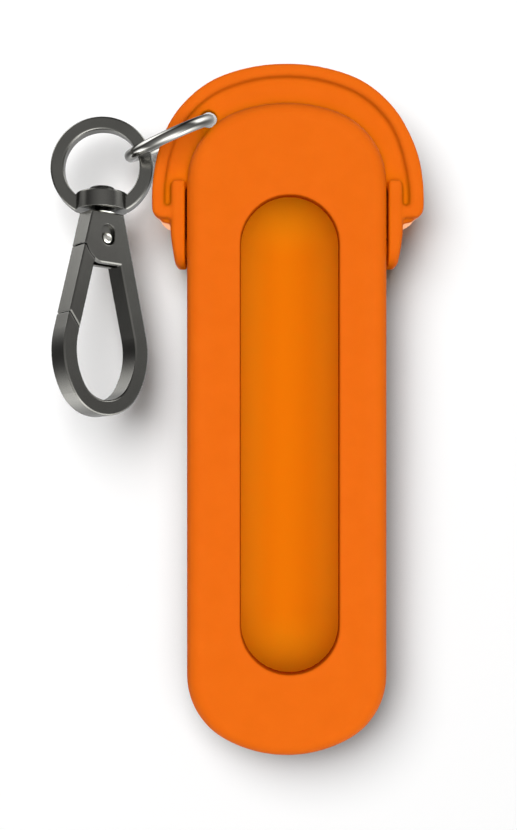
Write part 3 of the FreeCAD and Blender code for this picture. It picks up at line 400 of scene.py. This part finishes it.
def sleeve_shape(place):
    """The hinge studs end a little inside the arms' outer faces."""
    x, y, z = place
    return Vector((min(max(x, -STUD_END), STUD_END), y, z))


soft_skin("sleeve_body", "sleeve", silicone, 0.30 * MM, 3, sleeve_shape)
soft_skin("hood", "hood", silicone, 0.25 * MM, 8, hood_shape)


# ---------------------------------------------------------------- neck bead

NECK = 7.37 * MM                    # from the eye's centre to the bead's
BEAD_RADIUS = 2.25 * MM
BEAD_HALF_HEIGHT = 0.40 * MM


def neck_bead():
    """The polished bead that shows between the swivel's collar and the hook."""
    swivel = [joint for joint in frame["joints"] if joint["name"] == "hook_swivel"][0]
    axis = Vector(swivel["axis"]).normalized()
    bpy.ops.mesh.primitive_uv_sphere_add(segments=48, ring_count=24, radius=1.0)
    bead = bpy.context.object
    bead.name = "neck_bead"
    for polygon in bead.data.polygons:
        polygon.use_smooth = True
    bead.data.materials.append(pin_plating)
    bead.scale = (BEAD_RADIUS, BEAD_RADIUS, BEAD_HALF_HEIGHT)
    bead.rotation_euler = axis.to_track_quat("Z", "Y").to_euler()
    bead.location = Vector(swivel["pos_m"]) + NECK * axis
    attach(bead, "hook")


neck_bead()


# ---------------------------------------------------------------- floor, light and camera

LAMP_DISTANCE = 2.0
SOFTBOX = {"lean": (0.06, -0.02, 1.0), "size": 3.20, "power": 56.2}
TABLE_LAMP = {"lean": (-0.32, 0.42, 1.0), "size": 2.00, "power": 51.5}
FLOOR_SIZE = 6.0
FLOOR_DROP = 0.02 * MM              # keeps the table just under the object
FLOOR_SEEN = (1.0, 1.0, 1.0, 1.0)
FLOOR_CONTACT = (0.0, 0.03, 0.035, 1.0)
FLOOR_BOUNCE = (0.55, 0.55, 0.55, 1.0)
CONTACT_REACH = 6.0 * MM            # how far the table's contact shade spreads
CONTACT_DEPTH = 0.5


def make_floor():
    """The white table, with a faint contact shade that only the camera sees."""
    bpy.ops.mesh.primitive_plane_add(size=FLOOR_SIZE)
    floor = bpy.context.object
    floor.name = "floor"
    floor.location.z = cad_bounds[0][2] - FLOOR_DROP
    floor.visible_glossy = False
    material, n, links = new_material("white_table")
    shader = n["Principled BSDF"]
    shader.inputs["Roughness"].default_value = 0.9
    shader.inputs["Specular IOR Level"].default_value = 0.0
    contact = maths(n, links, "POWER", openness(n, links, CONTACT_REACH), CONTACT_DEPTH)
    seen = mix(n, links, contact, FLOOR_CONTACT, FLOOR_SEEN)
    path = n.new("ShaderNodeLightPath")
    colour = mix(n, links, path.outputs["Is Camera Ray"], FLOOR_BOUNCE, seen)
    links.new(colour, shader.inputs["Base Color"])
    floor.data.materials.append(material)
    return floor


# The world that the metal reflects: a plain studio, boxes round the horizon, and one box above.
ROOM_LEVEL = 0.10                   # what the room adds to the lamps, on surfaces
BOX_COUNT = 4.0
BOX_TURN = math.radians(180.0)
BOX_TOP = (0.50, 0.15)
BOX_EDGE = 1.6
BOX_LEVEL = 5.0
STUDIO_LEVEL = 0.16
STUDIO_SLOPE = (0.10, -0.15)
STUDIO_TOP = 0.38
STUDIO_LEAST = 0.03
SKYBOX_LEAN = (0.30, -0.70, 0.64)
SKYBOX_SHARPNESS = 10.0
SKYBOX_LEVEL = 4.5


def horizon_boxes(n, links, x, y, z):
    """Soft boxes round the horizon, as a level from 0 to 1."""
    around = maths(n, links, "ARCTAN2", y, x)
    wave = maths(n, links, "COSINE", maths(n, links, "MULTIPLY_ADD", around, BOX_COUNT, BOX_TURN))
    level = maths(n, links, "SUBTRACT", 1.0, maths(n, links, "ABSOLUTE", z))
    level = maths(n, links, "MULTIPLY", level, step(n, links, z, *BOX_TOP))
    boxes = maths(n, links, "MULTIPLY", maths(n, links, "MULTIPLY_ADD", wave, 0.5, 0.5), level)
    return maths(n, links, "POWER", boxes, BOX_EDGE)


def plain_studio(n, links, x, y, z):
    """The level between the boxes, higher overhead and on one side."""
    plain = maths(n, links, "MULTIPLY_ADD", y, STUDIO_SLOPE[1], STUDIO_LEVEL)
    plain = maths(n, links, "MULTIPLY_ADD", x, STUDIO_SLOPE[0], plain)
    plain = maths(n, links, "MULTIPLY_ADD", maths(n, links, "MULTIPLY", z, z), STUDIO_TOP, plain)
    return maths(n, links, "MAXIMUM", plain, STUDIO_LEAST)


def skybox(n, links, direction):
    """One soft box above, as a level from 0 to 1."""
    facing = n.new("ShaderNodeVectorMath")
    facing.operation = "DOT_PRODUCT"
    links.new(direction, facing.inputs[0])
    facing.inputs[1].default_value = Vector(SKYBOX_LEAN).normalized()
    ahead = maths(n, links, "MAXIMUM", facing.outputs["Value"], 0.0)
    return maths(n, links, "POWER", ahead, SKYBOX_SHARPNESS)


def make_world():
    """White to the camera, dim to the surfaces, and a studio with soft boxes to the metal."""
    world = bpy.data.worlds.new("studio")
    bpy.context.scene.world = world
    world.use_nodes = True
    n, links = world.node_tree.nodes, world.node_tree.links
    background = n["Background"]
    background.inputs["Color"].default_value = (1.0, 1.0, 1.0, 1.0)
    direction = n.new("ShaderNodeTexCoord").outputs["Generated"]
    parts = n.new("ShaderNodeSeparateXYZ")
    links.new(direction, parts.inputs[0])
    studio = maths(n, links, "MULTIPLY_ADD", horizon_boxes(n, links, *parts.outputs), BOX_LEVEL,
                   plain_studio(n, links, *parts.outputs))
    studio = maths(n, links, "MULTIPLY_ADD", skybox(n, links, direction), SKYBOX_LEVEL, studio)
    path = n.new("ShaderNodeLightPath")
    level = maths(n, links, "MULTIPLY_ADD", maths(n, links, "SUBTRACT", studio, ROOM_LEVEL),
                  path.outputs["Is Glossy Ray"], ROOM_LEVEL)
    level = maths(n, links, "MAXIMUM", level, path.outputs["Is Camera Ray"])
    links.new(level, background.inputs["Strength"])


def area_light(name, lean, size, power):
    """A round lamp that leans from above the object, and that no picture or metal shows."""
    data = bpy.data.lights.new(name, "AREA")
    data.shape = "DISK"
    data.size = size
    data.energy = power
    lamp = bpy.data.objects.new(name, data)
    bpy.context.scene.collection.objects.link(lamp)
    lamp.location = Vector(lean).normalized() * LAMP_DISTANCE
    lamp.rotation_euler = (-lamp.location).to_track_quat("-Z", "Y").to_euler()
    lamp.visible_camera = False
    lamp.visible_glossy = False
    return lamp


def make_lamps(floor):
    """One lamp for the object, and one that only draws the object's shadow on the table."""
    for name, settings, state in (("softbox", SOFTBOX, "EXCLUDE"),
                                  ("table_lamp", TABLE_LAMP, "INCLUDE")):
        lamp = area_light(name, **settings)
        group = bpy.data.collections.new(name + "_receivers")
        group.objects.link(floor)
        group.collection_objects[0].light_linking.link_state = state
        lamp.light_linking.receiver_collection = group


# The photo looks straight down on the front face.
VIEW_X = -4.4175 * MM
VIEW_Y = 2.17 * MM
VIEW_HEIGHT = 212.0 * MM
FRONT_SPAN = 128.65 * MM            # what the frame's height covers at the front face
SENSOR_HEIGHT = 24.0
FRONT_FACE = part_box("sleeve_body")[1].z


def make_camera():
    data = bpy.data.cameras.new("camera")
    data.sensor_fit = "VERTICAL"
    data.sensor_height = SENSOR_HEIGHT
    data.lens = SENSOR_HEIGHT * (VIEW_HEIGHT - FRONT_FACE) / FRONT_SPAN
    data.clip_start = 0.01
    data.clip_end = 20.0
    camera = bpy.data.objects.new("camera", data)
    bpy.context.scene.collection.objects.link(camera)
    camera.location = (VIEW_X, VIEW_Y, VIEW_HEIGHT)
    bpy.context.scene.camera = camera


make_lamps(make_floor())
make_world()
make_camera()

bpy.context.scene.view_settings.view_transform = "Standard"
